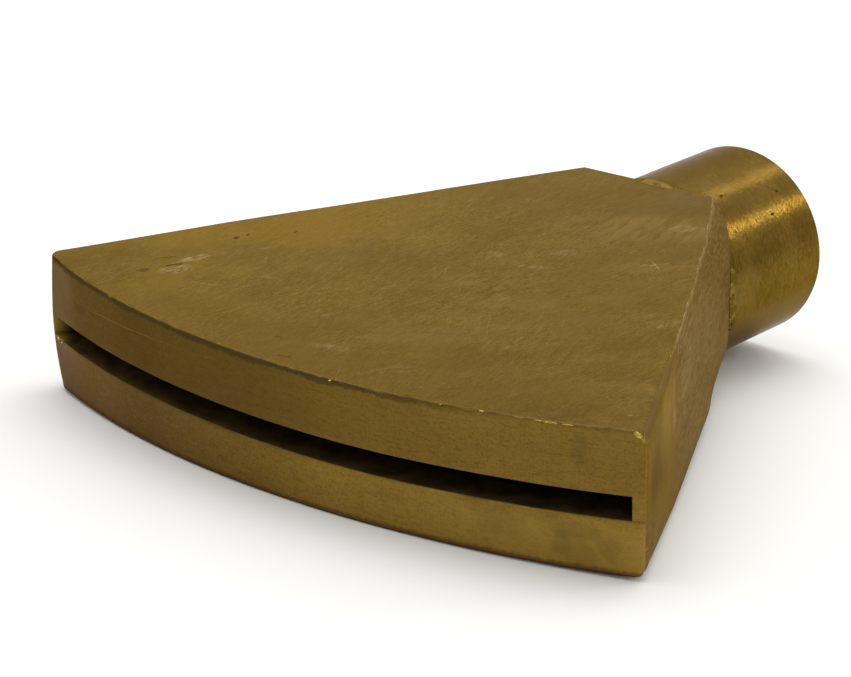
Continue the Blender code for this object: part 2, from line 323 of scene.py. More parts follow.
def round_hull_edges(piece, slot_edges=False):
    """Rounds the edges where two outer faces meet, and the slot's edges by less."""
    bm = bmesh.new()
    bm.from_mesh(piece.data)
    layers = bm.edges.layers.float
    layer = layers.get("bevel_weight_edge") or layers.new("bevel_weight_edge")
    for edge in bm.edges:
        if len(edge.link_faces) != 2:
            continue
        kinds = [face_kind(f) for f in edge.link_faces]
        if edge.calc_face_angle(0.0) < math.radians(25):
            continue
        if "none" not in kinds:
            edge[layer] = 1.0 if "front" in kinds and "side" not in kinds else SLIGHT_ROUNDING
        elif slot_edges and "front" in kinds:
            edge[layer] = SLOT_ROUNDING
    bm.to_mesh(piece.data)
    bm.free()
    bevel = piece.modifiers.new("Round", "BEVEL")
    bevel.limit_method = "WEIGHT"
    bevel.width = EDGE_ROUNDING
    bevel.segments = 3
    bevel.use_clamp_overlap = False
    apply_modifiers(piece)


def grid_cuts(piece, grid, beside_edges):
    """Splits the faces along a regular grid, and more finely beside edges rounded by hand."""
    bm = bmesh.new()
    bm.from_mesh(piece.data)
    planes = []
    for i in range(3):
        axis = Vector([1.0 if j == i else 0.0 for j in range(3)])
        low = min(v.co[i] for v in bm.verts)
        high = max(v.co[i] for v in bm.verts)
        for step in range(math.ceil(low / grid[i]), math.ceil(high / grid[i])):
            planes.append((axis * (step * grid[i] + 0.0001), axis))
    if beside_edges:
        for depth in EDGE_CUTS:
            planes += [top_face(depth), bottom_face(depth)]
            planes += [side_face(-1, depth), side_face(1, depth)]
    for point, normal in planes:
        everything = bm.verts[:] + bm.edges[:] + bm.faces[:]
        bmesh.ops.bisect_plane(bm, geom=everything, plane_co=point, plane_no=normal)
    bm.to_mesh(piece.data)
    bm.free()


def clamp(value):
    return min(1.0, max(0.0, value))


def ground_away(y, z):
    """How far the right side's surface lies inside its flat face."""
    share = clamp(1 + y / BOX_LENGTH)
    height = GROUND_TOP_HEIGHT_FRONT
    height += (GROUND_TOP_HEIGHT_BACK - GROUND_TOP_HEIGHT_FRONT) * share
    top = top_height(y)
    most = GROUND_TOP * share**1.25 + GROUND_TOP_CORNER * share**8
    away = most * clamp((z - top + height) / height)**(1.3 + 1.5 * share**2)
    bottom = -BOTTOM_DROP + BOTTOM_SLOPE * y
    near_back = clamp(1 + y / GROUND_BOTTOM_REACH)
    low = clamp((bottom + GROUND_BOTTOM_HEIGHT - z) / GROUND_BOTTOM_HEIGHT)
    away += GROUND_BOTTOM * near_back * low**1.6
    crown = 1 - ((z - CROWN_MIDDLE) / CROWN_HALF)**2
    return away - SIDE_CROWN * share**2 * max(0.0, crown)


def eased(depth, inwards, other_depth, other_inwards, radius):
    """The move that rounds the edge between two faces, for a point so deep inside them."""
    a, b = radius - depth, radius - other_depth
    reach = math.hypot(a, b)
    if a < 0 or b < 0 or reach < radius:
        return Vector((0, 0, 0))
    return (inwards * a + other_inwards * b) * (1 - radius / reach)


def rounded_by_hand(point):
    """How far a point moves where the edges near the front are rounded."""
    top, bottom, from_side, from_front, _ = hull_depths(point)
    side = math.copysign(1, point.x)
    side_in = -side_face(side)[1]
    front_in = Vector((-point.x, FRONT_CENTRE_Y - point.y, 0)).normalized()
    up_in = -bottom_face()[1]
    near_front = clamp((-point.y - ROUNDED_FROM) / ROUNDED_WITHIN)
    if side > 0:
        moved = eased(from_front, front_in, from_side, side_in, UPRIGHT_RIGHT)
        long_edge = TOP_RIGHT_EDGE * clamp((-point.y - TOP_RIGHT_FROM) / ROUNDED_WITHIN)
        moved += eased(top, -top_face()[1], from_side, side_in, long_edge)
        return moved + eased(bottom, up_in, from_side, side_in, BOTTOM_RIGHT_EDGE * near_front)
    upright = UPRIGHT_LEFT + UPRIGHT_LEFT_FOOT * clamp(1 - point.z / FOOT_HEIGHT)**2
    moved = eased(from_front, front_in, from_side, side_in, upright)
    moved += eased(bottom, up_in, from_side, side_in, BOTTOM_LEFT_EDGE * near_front)
    high = clamp((point.z - FOOT_HEIGHT) / 0.020)**1.5
    moved.x += LEFT_LEAN * clamp(1 - from_side / GROUND_DEPTH) * near_front * high
    return moved


def hand_worked(point):
    """Where hand grinding has left a point, by the same rule for every piece of the box."""
    top, _, side, front, _ = hull_depths(point)
    moved = point + noise.noise_vector(point * 22.0) * 0.00016
    moved += noise.noise_vector(point * 90.0 + Vector((7, 3, 1))) * 0.00004
    moved += rounded_by_hand(point)
    if point.x > 0:
        moved.x -= ground_away(point.y, point.z) * clamp(1 - side / GROUND_DEPTH)
    # the top front edge is nicked
    edge = clamp(1 - math.hypot(top, front) / NICKED_WIDTH)
    nick = clamp(noise.noise(point * 330.0) * 1.6 - 0.15)
    nick += 0.4 * clamp(noise.noise(point * 900.0))
    moved += Vector((0, 0.7, -0.8)) * edge * nick * NICK_DEPTH
    # the top right edge wavers
    edge = clamp(1 - math.hypot(top, side) / WAVER_WIDTH) if point.x > 0 else 0.0
    moved.x -= edge * WAVER * noise.noise(Vector((point.y * 75.0, 3.0, 0.0)))
    return moved


def unevenness(piece):
    for vertex in piece.data.vertices:
        vertex.co = hand_worked(vertex.co)


def finish_piece(piece, node, smooth_angle=40):
    """Smooth shading, the lying position, and the piece's place in the frame."""
    piece.data.shade_smooth()
    piece.data.set_sharp_from_angle(angle=math.radians(smooth_angle))
    weighted = piece.modifiers.new("Normals", "WEIGHTED_NORMAL")
    weighted.keep_sharp = True
    weighted.weight = 50
    piece.matrix_world = LYING
    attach(piece, "root")
    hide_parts(node)


# Materials
class Wire:
    """One output of a node. Sums, differences and products of wires make math nodes."""

    def __init__(self, graph, socket):
        self.graph = graph
        self.socket = socket

    def __add__(self, other):
        return self.graph.math("ADD", self, other)

    def __radd__(self, other):
        return self.graph.math("ADD", other, self)

    def __sub__(self, other):
        return self.graph.math("SUBTRACT", self, other)

    def __rsub__(self, other):
        return self.graph.math("SUBTRACT", other, self)

    def __mul__(self, other):
        return self.graph.math("MULTIPLY", self, other)

    def __abs__(self):
        return self.graph.math("ABSOLUTE", self)


class Graph:
    """A material's nodes, with short calls for the ones used here."""

    def __init__(self, name):
        self.material = bpy.data.materials.new(name)
        self.material.use_nodes = True
        self.tree = self.material.node_tree
        self.shader = self.tree.nodes["Principled BSDF"]
        self.point = Wire(self, self.node("ShaderNodeTexCoord").outputs["Object"])
        self.colour = None

    def put(self, socket, value):
        """Links a wire to an input, or sets the input's value; a colour has three numbers."""
        if isinstance(value, Wire):
            self.tree.links.new(value.socket, socket)
        elif socket.type == "RGBA":
            socket.default_value = (*value, 1)
        else:
            socket.default_value = value

    def fill(self, node, inputs):
        for key, value in inputs.items():
            self.put(node.inputs[key.replace("_", " ")], value)
        return node

    def node(self, kind, **inputs):
        return self.fill(self.tree.nodes.new(kind), inputs)

    def math(self, operation, a, b=0.0):
        made = self.tree.nodes.new("ShaderNodeMath")
        made.operation = operation
        self.put(made.inputs[0], a)
        self.put(made.inputs[1], b)
        return Wire(self, made.outputs[0])

    def most(self, a, b):
        return self.math("MAXIMUM", a, b)

    def vector(self, operation, a, b=(0, 0, 0)):
        made = self.tree.nodes.new("ShaderNodeVectorMath")
        made.operation = operation
        self.put(made.inputs[0], a)
        self.put(made.inputs[1], b)
        return Wire(self, made.outputs["Value" if operation == "LENGTH" else "Vector"])

    def mapped(self, vector, **how):
        """A vector that is scaled, rotated or moved."""
        return Wire(self, self.node("ShaderNodeMapping", Vector=vector, **how).outputs[0])

    def noise(self, scale, detail=4.0, roughness=0.55, distortion=0.0, at=None):
        """Noise over the object coordinates, or over the vector given."""
        made = self.node("ShaderNodeTexNoise", Vector=at or self.point, Scale=scale)
        shape = {"Detail": detail, "Roughness": roughness, "Distortion": distortion}
        return Wire(self, self.fill(made, shape).outputs["Fac"])

    def grain(self, scale, *shape, turn=0, lean=0, offset=(0, 0, 0)):
        """Noise with its own scale along each axis, turned and leant by some degrees first."""
        turned = self.mapped(self.point, Rotation=(0, math.radians(lean), math.radians(turn)))
        return self.noise(1.0, *shape, at=self.mapped(turned, Scale=scale, Location=offset))

    def band(self, value, low, high):
        """0 below low, 1 above high, smooth between them; low may be above high."""
        made = self.node("ShaderNodeMapRange", Value=value)
        made.interpolation_type = "SMOOTHSTEP"
        ends = (low, high, 0.0, 1.0) if low < high else (high, low, 1.0, 0.0)
        for k, end in enumerate(ends):
            made.inputs[k + 1].default_value = end
        return Wire(self, made.outputs["Result"])

    def mix(self, factor, a, b):
        made = self.tree.nodes.new("ShaderNodeMix")
        made.data_type = "RGBA"
        for k, value in ((0, factor), (6, a), (7, b)):
            self.put(made.inputs[k], value)
        return Wire(self, made.outputs[2])

    def over(self, mask, paint, amount=None):
        """Lays paint over the colour so far, where the mask is white."""
        factor = mask if amount is None else mask * amount
        self.colour = self.mix(factor, self.colour, paint)

    def worked(self, pattern, amount, dark, light, low=0.34, start=0.56, high=0.72):
        """Lays a fine pattern's dark and light parts over the colour."""
        self.over(self.band(pattern, 0.49, low), dark, amount)
        self.over(self.band(pattern, start, high), light, amount)

    def bump(self, height, distance, after=None):
        made = self.node("ShaderNodeBump", Height=height, Distance=distance)
        if after is not None:
            self.put(made.inputs["Normal"], after)
        return Wire(self, made.outputs["Normal"])

    def spot(self, centre, radii, turn, frequency, strength, outer=1.1, inner=0.5):
        """A ragged oval mark. Frequency is its rim's, outer and inner are where it fades."""
        turned = self.vector("SUBTRACT", self.point, centre)
        turned = self.mapped(turned, Rotation=(0, 0, -math.radians(turn)))
        reach = self.vector("LENGTH", self.mapped(turned, Scale=[1 / r for r in radii]))
        reach = reach + (self.noise(frequency, 3.0, 0.5) - 0.5) * 1.6
        return self.band(reach, outer, inner) * strength

    def top_marks(self, marks, rows, frequency, strength):
        """Marks on the top: rows of x, y and two half sizes in millimetres, and a turn."""
        for x, y, half_x, half_y, turn in rows:
            centre = Vector((x, y, 0)) / 1000
            centre.z = top_height(centre.y)
            radii = (half_x / 1000, half_y / 1000, MARK_DEPTH)
            marks = self.most(marks, self.spot(centre, radii, turn, frequency, strength))
        return marks

    def axes(self):
        made = self.node("ShaderNodeSeparateXYZ", Vector=self.point)
        return [Wire(self, made.outputs[k]) for k in range(3)]

    def set(self, **inputs):
        self.fill(self.shader, inputs)
        return self.material

    def metal(self, tint, rough, normal):
        """Fills in the shader; tint is what the metal keeps of its colour at a glancing view."""
        self.set(Specular_Tint=tint, Metallic=1.0)
        return self.set(Base_Color=self.colour, Roughness=rough, Normal=normal)


SIDE_ALONG = (math.sin(SIDE_ANGLE), -math.cos(SIDE_ANGLE))  # back to front along the right side
PALE = (0.36, 0.25, 0.13)
PIT = (0.045, 0.026, 0.010)
FACE_TINT = (0.62, 0.55, 0.44)
SIDE_TINT = (0.50, 0.43, 0.32)
SOCKET_TINT = (0.60, 0.53, 0.43)
EDGE_TINT = (0.5, 0.43, 0.3)
INSIDE_TINT = (0.4, 0.35, 0.25)


def brushed_top():
    """The broad faces: brushed from front to back, mottled, with a few scars and pits."""
    g = Graph("brushed_top_brass")
    x, y, _ = g.axes()
    broad = g.noise(17, 3)
    patch = g.noise(60, 5, 0.62)
    grain = g.noise(1500, 2, 0.6)
    fine = g.grain((1450, 330, 300), 2, 0.6, 0.6, turn=2)
    brush = g.grain((900, 110, 200), 3, 0.65, 0.8, turn=7)
    crossing = g.grain((950, 150, 200), 3, 0.65, 0.8, turn=-17)
    swept = g.band(g.grain((26, 18, 20), 3, 0.6, offset=(7, 2, 0)), 0.44, 0.58)
    brush = g.mix(swept, brush, crossing)
    marked = 0.5 + g.band(g.noise(32, 4, 0.6), 0.38, 0.62) * 0.5
    coarse = g.grain((330, 60, 120), 4, 0.65, 1.2, turn=-9)
    tone = broad * 0.45 + patch * 0.55
    g.colour = g.mix(g.band(tone, 0.36, 0.62), (0.176, 0.11, 0.0275), (0.226, 0.144, 0.037))
    g.over(g.band(coarse, 0.46, 0.7), (0.27, 0.177, 0.055), 0.3)
    brushed = ((brush, 0.46, 0.36, 0.70), (fine, 0.44, 0.34, 0.70), (grain, 0.50, 0.32, 0.72))
    for pattern, amount, low, high in brushed:
        level = marked * amount
        dark, light = (0.112, 0.069, 0.0180), (0.33, 0.228, 0.080)
        g.worked(pattern, level, dark, light, low, high=high)
    # long faint scratches
    for turn, seed in ((-27, 1), (24, 4)):
        field = g.grain((150, 13, 60), 1, 0.5, turn=turn, offset=(seed, seed, 0))
        scratch = g.band(abs(field - 0.5), 0.009, 0.002)
        scratch = scratch * g.band(g.noise(45 + seed, 3, 0.6), 0.5, 0.62)
        g.over(scratch, PALE, 0.3)
    # yellower to the left
    yellow = g.band(x, 0.0, -0.08) * g.band(broad, 0.38, 0.56)
    g.over(yellow, (0.25, 0.158, 0.029), 0.55)
    # painted shade darkening the top towards the right; darker towards the front, greyer towards
    # the back
    right = g.band(x + broad * 0.04, -0.07, 0.11)
    g.over(right, (0.088, 0.056, 0.015), 0.36)
    front = g.band(y + broad * 0.03, -0.105, -0.15)
    g.over(front, (0.088, 0.056, 0.015), 0.26)
    back = g.band(y + broad * 0.03, -0.065, 0.015)
    g.over(back, (0.165, 0.113, 0.05), 0.35)
    # cloudier to the right
    cloud = g.grain((75, 30, 40), 4, 0.6, turn=55, offset=(9, 4, 0))
    clouded = g.band(x, -0.04, 0.03) * 0.17
    darker = g.band(cloud, 0.52, 0.36) * clouded
    g.over(darker, (0.092, 0.059, 0.0165))
    lighter = g.band(cloud, 0.53, 0.68) * clouded
    g.over(lighter, (0.285, 0.192, 0.06))
    # greyer tarnish in patches
    tarnish = g.grain((34, 26, 30), 5, 0.65, offset=(3, 1, 0))
    g.over(g.band(tarnish, 0.54, 0.7), (0.165, 0.112, 0.048), 0.4)
    light = g.spot((0.022, -0.034, 0.044), (0.030, 0.013, 0.02), 25, 60, 0.48)
    light = light * g.band(coarse, 0.36, 0.58)
    g.over(light, (0.262, 0.178, 0.062))
    pale = g.top_marks(0.0, ((-70.5, -129.0, 2.3, 6.6, -22),), 420, 0.95)
    pale = g.top_marks(pale, ((-68.2, -137.2, 3.8, 4.6, -35),), 300, 0.75)
    smears = (
        (8.0, -154.5, 6.0, 2.8, 10),
        (31.0, -27.0, 8.5, 3.2, 25),
        (14.8, -76.5, 5.0, 1.6, 20),
        (-0.4, -74.5, 3.4, 2.0, 0),
        (15.0, -62.0, 6.0, 3.0, 30),
        (101.4, -142.6, 1.4, 0.9, 40),
        (71.5, -89.0, 1.8, 3.6, -20),
    )
    pale = g.top_marks(pale, smears, 260, 0.38)
    ticks = (
        (-41.4, -126.2, 2.5, 0.35, 35),
        (-53.0, -140.8, 5.0, 0.30, 15),
        (41.8, -55.3, 4.8, 0.40, 50),
        (41.8, -55.3, 4.8, 0.40, -35),
        (39.5, -57.0, 4.0, 0.35, 20),
    )
    pale = g.top_marks(pale, ticks, 900, 0.85)
    broken = g.band(brush, 0.36, 0.54) * g.band(fine, 0.36, 0.54)
    g.over(pale, PALE, broken)
    pits = g.top_marks(0.0, ((-70.9, -135.0, 0.9, 4.0, -30),), 800, 0.9)
    scores = (
        (-77.0, -132.0, 0.6, 3.6, -35),
        (-69.0, -137.5, 0.5, 3.6, -30),
        (-66.8, -139.2, 0.5, 3.0, -40),
        (-75.2, -143.3, 1.8, 2.2, -20),
        (-8.0, -157.5, 2.2, 0.5, 15),
        (2.6, -166.3, 3.0, 0.6, 15),
    )
    pits = g.top_marks(pits, scores, 800, 0.65)
    holes = (
        (-71.8, -108.7, 1.0, 1.8, 0),
        (-70.7, -105.0, 0.5, 1.3, 20),
        (-61.0, -95.0, 0.5, 1.0, 0),
    )
    pits = g.top_marks(pits, holes, 700, 1.0)
    stray = g.noise(320, 2, 0.5)
    pits = g.most(pits, g.band(stray, 0.76, 0.8) * 0.6)
    g.over(pits, PIT, 0.75)
    height = brush + fine + grain * 0.4
    height = height - pits * 4.0
    rough = 0.4 + patch * 0.22
    normal = g.bump(height, 0.00005, after=g.bump(coarse, 0.00004))
    return g.metal(FACE_TINT, rough, normal)


def sanded_front():
    """The curved front: sanded along its length, tanner to the left, blotched to the right."""
    g = Graph("sanded_front_brass")
    x, y, z = g.axes()
    broad = g.noise(24, 3)
    patch = g.noise(70, 5, 0.65)
    grain = g.noise(1500, 2, 0.6)
    sand = g.grain((330, 330, 1400), 3, 0.65, 0.6, lean=-4)
    coarse = g.grain((45, 45, 330), 4, 0.6, 0.8, lean=2)
    across = g.band(x + broad * 0.05, -0.065, 0.055)
    g.colour = g.mix(across, (0.16, 0.095, 0.038), (0.262, 0.162, 0.0295))
    lighter = g.mix(across, (0.178, 0.108, 0.045), (0.286, 0.179, 0.035))
    g.over(g.band(coarse, 0.38, 0.66), lighter, 0.6)
    for pattern, amount, low in ((sand, 0.36, 0.34), (grain, 0.40, 0.32)):
        dark, light = (0.115, 0.070, 0.017), (0.33, 0.225, 0.075)
        g.worked(pattern, amount, dark, light, low, 0.57)
    # painted shading of the rounded left corner: paler and greyer there, darker lower down; darker
    # beyond it
    corner = g.band(x + patch * 0.01, -0.079, -0.095)
    greyed = g.mix(g.band(z, 0.008, 0.022), (0.125, 0.088, 0.064), (0.240, 0.165, 0.100))
    g.over(corner, greyed, 0.7)
    beyond = g.band(x, -0.075, -0.055) * g.band(x, 0.028, -0.008)
    g.over(beyond, (0.06, 0.036, 0.01), 0.27)
    # painted shade: darker above the slot, less so to the right
    above = 0.56 - g.band(x, 0.0, 0.08) * 0.23
    above = above - corner * 0.12
    g.over(g.band(z, 0.012, 0.026), (0.07, 0.043, 0.008), above)
    # painted light: lighter below the slot towards the right end
    lit = g.band(x, 0.03, 0.085) * g.band(z, 0.016, 0.011)
    g.over(lit, (0.345, 0.225, 0.046), 0.45)
    soft = g.grain((48, 48, 60), 4, 0.55, offset=(2, 0, 5))
    blotch = g.band(soft, 0.5, 0.64) * g.band(x, 0.0, 0.06)
    g.over(blotch, (0.11, 0.072, 0.02), 0.24)
    for centre, radii in (
        ((0.0945, -0.155, 0.0335), (0.0028, 0.02, 0.0052)),
        ((0.0935, -0.156, 0.0110), (0.0080, 0.02, 0.0026)),
        ((0.0900, -0.157, 0.0075), (0.0034, 0.02, 0.0045)),
        ((0.1020, -0.153, 0.0075), (0.0030, 0.02, 0.0050)),
    ):
        g.over(g.spot(centre, radii, 0, 190, 0.27), (0.105, 0.073, 0.021))
    smudge = g.spot((-0.0865, -0.158, 0.0307), (0.004, 0.02, 0.0028), 0, 300, 0.5)
    g.over(smudge, (0.085, 0.055, 0.026))
    # a faint scribed line below the top edge on the left
    line = z - (x * 0.0474 + 0.03593)
    line = g.band(abs(line), 0.00018, 0.00003)
    line = line * g.band(x, -0.0195, -0.0235)
    line = line * g.band(x, -0.0905, -0.0865)
    line = line * g.band(patch, 0.4, 0.56)
    g.over(line, PALE, 0.32)
    # darker below the top edge, gone at the right end, and brown along the bottom edge
    top = y * TOP_SLOPE + (FRONT_HEIGHT + TOP_RISE) - z
    ragged = g.grain((1000, 1000, 380), 4, 0.7) * 0.0019
    clump = g.band(g.grain((70, 70, 0), 3, 0.6), 0.42, 0.62) * 0.0007
    dark_below_top_edge = g.band(top - (ragged + clump), 0.0008, -0.0001)
    dark_below_top_edge = dark_below_top_edge * g.band(x, 0.08, 0.03)
    g.over(dark_below_top_edge, (0.055, 0.036, 0.013), 0.72)
    foot = z + y * -BOTTOM_SLOPE
    foot = g.band(foot + BOTTOM_DROP - ragged, 0.0012, 0.0)
    g.over(foot, (0.085, 0.04, 0.02), 0.7)
    # darker just below the slot's lower rim
    below = g.band(SLOT_BOTTOM - z, 0.0009, 0.0)
    below = below * g.band(z, SLOT_BOTTOM + 0.0006, SLOT_BOTTOM)
    below = below * g.band(patch, 0.42, 0.56)
    g.over(below, (0.06, 0.04, 0.014), 0.45)
    rough = 0.42 + patch * 0.2
    normal = g.bump(sand + grain * 0.5, 0.00004, after=g.bump(patch, 0.00008))
    return g.metal(FACE_TINT, rough, normal)


def streaked_side():
    """The sides: filed lengthwise, brownish, with a smoother golden patch near the front."""
    g = Graph("streaked_side_brass")
    x, y, z = g.axes()
    reach = abs(x)
    along = reach * SIDE_ALONG[0] + y * SIDE_ALONG[1]
    flat = Wire(g, g.node("ShaderNodeCombineXYZ", X=along, Y=z, Z=x).outputs[0])
    streak = g.noise(1.0, 3, 0.65, 0.6, at=g.mapped(flat, Scale=(110, 1300, 20)))
    coarse = g.noise(1.0, 4, 0.6, 1.0, at=g.mapped(flat, Scale=(22, 150, 10)))
    grain = g.noise(1.0, 2, 0.6, at=g.mapped(flat, Scale=(300, 1500, 20)))
    patch = g.noise(70, 5, 0.6)
    g.colour = g.mix(g.band(coarse, 0.34, 0.66), (0.205, 0.132, 0.05), (0.252, 0.166, 0.068))
    for pattern, amount in ((streak, 0.55), (grain, 0.50)):
        g.worked(pattern, amount, (0.118, 0.073, 0.026), (0.37, 0.26, 0.128))
    # smooth golden patch, reaching back from the front edge in the upper part
    edge = g.noise(1.0, 4, 0.6, at=g.mapped(flat, Scale=(90, 50, 20))) * 0.022
    gold = g.band(along + edge, 0.129, 0.154)
    low = z + (along - 0.15) * -0.55
    gold = gold * g.band(low + edge, 0.002, 0.018)
    gold = gold * g.band(x, 0.0, 0.001)
    golden = g.mix(g.band(patch, 0.35, 0.7), (0.238, 0.146, 0.025), (0.214, 0.129, 0.022))
    g.over(gold, golden, 0.84)
    for pattern, amount in ((streak, 0.22), (grain, 0.30)):
        level = gold * amount
        g.worked(pattern, level, (0.125, 0.076, 0.018), (0.34, 0.225, 0.075))
    # painted shade and a painted sheen on the golden patch
    shade = g.spot((0.1030, -0.1350, 0.0215), (0.0125, 0.0225, 0.0085), 0, 60, 0.72, 1.5, 0.0)
    g.over(shade, (0.118, 0.067, 0.01), g.band(x, 0.0, 0.001))
    glow = g.spot((0.0922, -0.1170, 0.0300), (0.011, 0.0170, 0.0110), 0, 60, 0.62, 1.4, 0.0)
    g.over(glow, (0.38, 0.245, 0.075), g.band(x, 0.0, 0.001))
    # pale smears where the patch ends, and the pale ground strip below the top edge
    smear = g.spot((0.0870, -0.1055, 0.027), (0.0030, 0.0046, 0.0100), 0, 200, 0.90, 1.3, 0.2)
    smear = g.most(smear, g.spot((0.0880, -0.1075, 0.016), (0.002, 0.003, 0.006), 0, 240, 0.50))
    smear = g.most(smear, g.spot((0.0905, -0.111, 0.037), (0.002, 0.003, 0.004), 0, 260, 0.6))
    smear = g.most(smear, g.spot((0.0740, -0.0830, 0.030), (0.010, 0.018, 0.0090), 0, 150, 0.40))
    worn = g.band(streak, 0.34, 0.52) * g.band(patch, 0.36, 0.56)
    g.over(smear, PALE, worn)
    top = y * TOP_SLOPE + (FRONT_HEIGHT + TOP_RISE) - z
    uneven = g.noise(1.0, 4, at=g.mapped(flat, Scale=(200, 300, 0))) * 0.0022
    strip = g.band(top - uneven, 0.0002, -0.0006)
    strip = strip * g.band(along, 0.138, 0.122)
    g.over(strip, PALE, 0.6)
    second = top - (0.172 - along) * 0.05
    second = g.band(abs(second - uneven), 0.0012, 0.0)
    second = second * (g.band(along, 0.128, 0.118) * g.band(along, 0.055, 0.075))
    g.over(second, PALE, 0.2)
    # painted shade, darker where the long edge is rounded near the front
    rounding = g.band(top - edge * 0.06, 0.0034, 0.0012)
    rounding = rounding * g.band(along, 0.122, 0.142)
    g.over(rounding, (0.18, 0.118, 0.06), 0.8)
    rough = 0.44 - gold * 0.06 + patch * 0.16
    height = streak + grain * 0.6
    normal = g.bump(height, 0.00005, after=g.bump(coarse, 0.00005))
    return g.metal(SIDE_TINT, rough, normal)


def dark_inside():
    """The slot's walls and the chamber: dark patina, with painted shade deeper in from the slot's
    mouth and painted light on the slot's left end wall.
    """
    g = Graph("dark_inside_brass")
    patch = g.noise(130, 5, 0.65)
    drag = g.grain((700, 60, 700), 3, 0.6)
    g.colour = g.mix(g.band(patch, 0.38, 0.62), (0.085, 0.052, 0.019), (0.17, 0.11, 0.036))
    g.over(g.band(drag, 0.55, 0.75), (0.18, 0.12, 0.035), 0.5)
    # depth behind the curved front
    x, y, _ = g.axes()
    centred = y - FRONT_CENTRE_Y
    squares = x * x + centred * centred
    depth = FRONT_RADIUS - g.math("SQRT", squares)
    # painted shade deeper in the slot, lighter near its mouth; painted light on the slot's left end
    # wall
    mouth = g.band(depth + patch * 0.005, 0.0085, 0.0025)
    end = g.band(x, -0.098, -0.1035)
    g.over(mouth, (0.16, 0.115, 0.04), 0.45)
    g.over(mouth, (0.46, 0.32, 0.085), end)
    rough = 0.5 + patch * 0.25
    normal = g.bump(drag, 0.00005)
    return g.metal(INSIDE_TINT, rough, normal)


def speckled_edge(name, dull, bright, share, plain=None):
    """The finish of an edge or burr: dull with a share of bright specks, and plainer at the right
    end if asked. Some of its uses carry painted highlights and glints.
    """
    g = Graph(name)
    speck = g.noise(700, 4, 0.7)
    patch = g.noise(160, 4, 0.65)
    level = 0.66 - 0.3 * share
    both = speck * 0.5 + patch * 0.5
    g.colour = g.mix(g.band(both, level - 0.04, level + 0.04), dull, bright)
    if plain is not None:
        x, _, _ = g.axes()
        g.over(g.band(x, 0.02, 0.075), plain, 0.75)
    normal = g.bump(speck, 0.0001)
    return g.metal(EDGE_TINT, 0.42, normal)


def turned_brass():
    """The socket: scored round its axis by turning, with a few pores and a rough brazed end."""
    g = Graph("turned_socket_brass")
    _, y, z = g.axes()
    rings = g.grain((240, 1500, 240), 3, 0.65, 0.7, turn=4)
    dash = g.grain((600, 1900, 600), 2, 0.6, 0.8, offset=(5, 2, 1))
    wide = g.grain((60, 400, 60), 3, 0.6)
    patch = g.noise(75, 5, 0.6)
    g.colour = g.mix(g.band(patch, 0.36, 0.64), (0.134, 0.08, 0.0145), (0.176, 0.108, 0.02))
    for pattern, amount in ((rings, 0.46), (dash, 0.56)):
        dark, light = (0.078, 0.045, 0.0085), (0.265, 0.172, 0.038)
        g.worked(pattern, amount, dark, light, start=0.57)
    tan = g.grain((22, 40, 22), 4, 0.6, offset=(1, 5, 2))
    g.over(g.band(tan, 0.5, 0.66), (0.172, 0.112, 0.03), 0.45)
    g.over(g.band(z, 0.034, 0.045), (0.16, 0.108, 0.046), 0.45)
    under = g.band(z, 0.011, 0.002)
    g.over(under, (0.215, 0.147, 0.058), 0.65)
    # pores
    cells = g.node("ShaderNodeTexVoronoi", Vector=g.point, Scale=150.0).outputs
    pick = Wire(g, g.node("ShaderNodeSeparateXYZ", Vector=Wire(g, cells["Color"])).outputs[0])
    pores = g.band(Wire(g, cells["Distance"]), 0.09, 0.05) * g.band(pick, 0.84, 0.88)
    for centre in ((0.0156, 0.0121, 0.0412), (0.0227, 0.0044, 0.0352), (0.0242, 0.0268, 0.0334)):
        pores = g.most(pores, g.spot(centre, (0.0005, 0.0008, 0.0005), 0, 900, 1.0))
    # the brazed end: blotchy, with black specks low down on the right
    blotch = g.noise(330, 5, 0.7)
    end = g.band(y + blotch * 0.01, 0.0078, 0.0058)
    rough_metal = g.mix(g.band(blotch, 0.46, 0.62), (0.100, 0.060, 0.010), (0.31, 0.205, 0.034))
    g.over(end, rough_metal, 0.75)
    grime = g.band(g.noise(620, 3, 0.6), 0.58, 0.66) * end
    grime = grime * g.band(z, 0.036, 0.026)
    dark = g.most(pores, grime)
    g.over(dark, (0.02, 0.013, 0.006))
    height = rings + dash + end * blotch
    height = height - dark * 3.0
    rough = 0.17 + patch * 0.1
    normal = g.bump(height, 0.00007, after=g.bump(wide, 0.00005))
    return g.metal(SOCKET_TINT, rough, normal)


def braze_metal():
    """The braze beads: dull yellow, lumpy and pitted."""
    g = Graph("pale_braze")
    lumps = g.noise(420, 4, 0.7)
    patch = g.noise(120, 4, 0.6)
    g.colour = g.mix(g.band(lumps, 0.4, 0.62), (0.11, 0.068, 0.016), (0.22, 0.148, 0.04))
    g.over(g.band(patch, 0.45, 0.65), (0.215, 0.146, 0.058))
    g.over(g.band(g.noise(800, 3, 0.6), 0.62, 0.7), PIT)
    normal = g.bump(lumps, 0.0002)
    return g.metal(EDGE_TINT, 0.42, normal)


TOP = brushed_top()
FRONT = sanded_front()
SIDE = streaked_side()
INSIDE = dark_inside()
TURNED = turned_brass()
BRAZE = braze_metal()
# darker along the top front edge, plainer at its right end
TOP_EDGE = speckled_edge(
    "dark_top_edge", (0.080, 0.052, 0.020), (0.20, 0.132, 0.045), 0.15, (0.165, 0.103, 0.028)
)
# the right upright edge: lighter rubbed metal with a painted highlight
UPRIGHT = speckled_edge("bright_upright_edge", (0.210, 0.134, 0.037), (0.32, 0.22, 0.07), 0.45)
SEAM_EDGE = speckled_edge("pale_seam_edge", (0.20, 0.132, 0.055), (0.42, 0.30, 0.17), 0.5)
BOTTOM_EDGE = speckled_edge("brown_bottom_edge", (0.090, 0.043, 0.020), (0.24, 0.14, 0.05), 0.1)
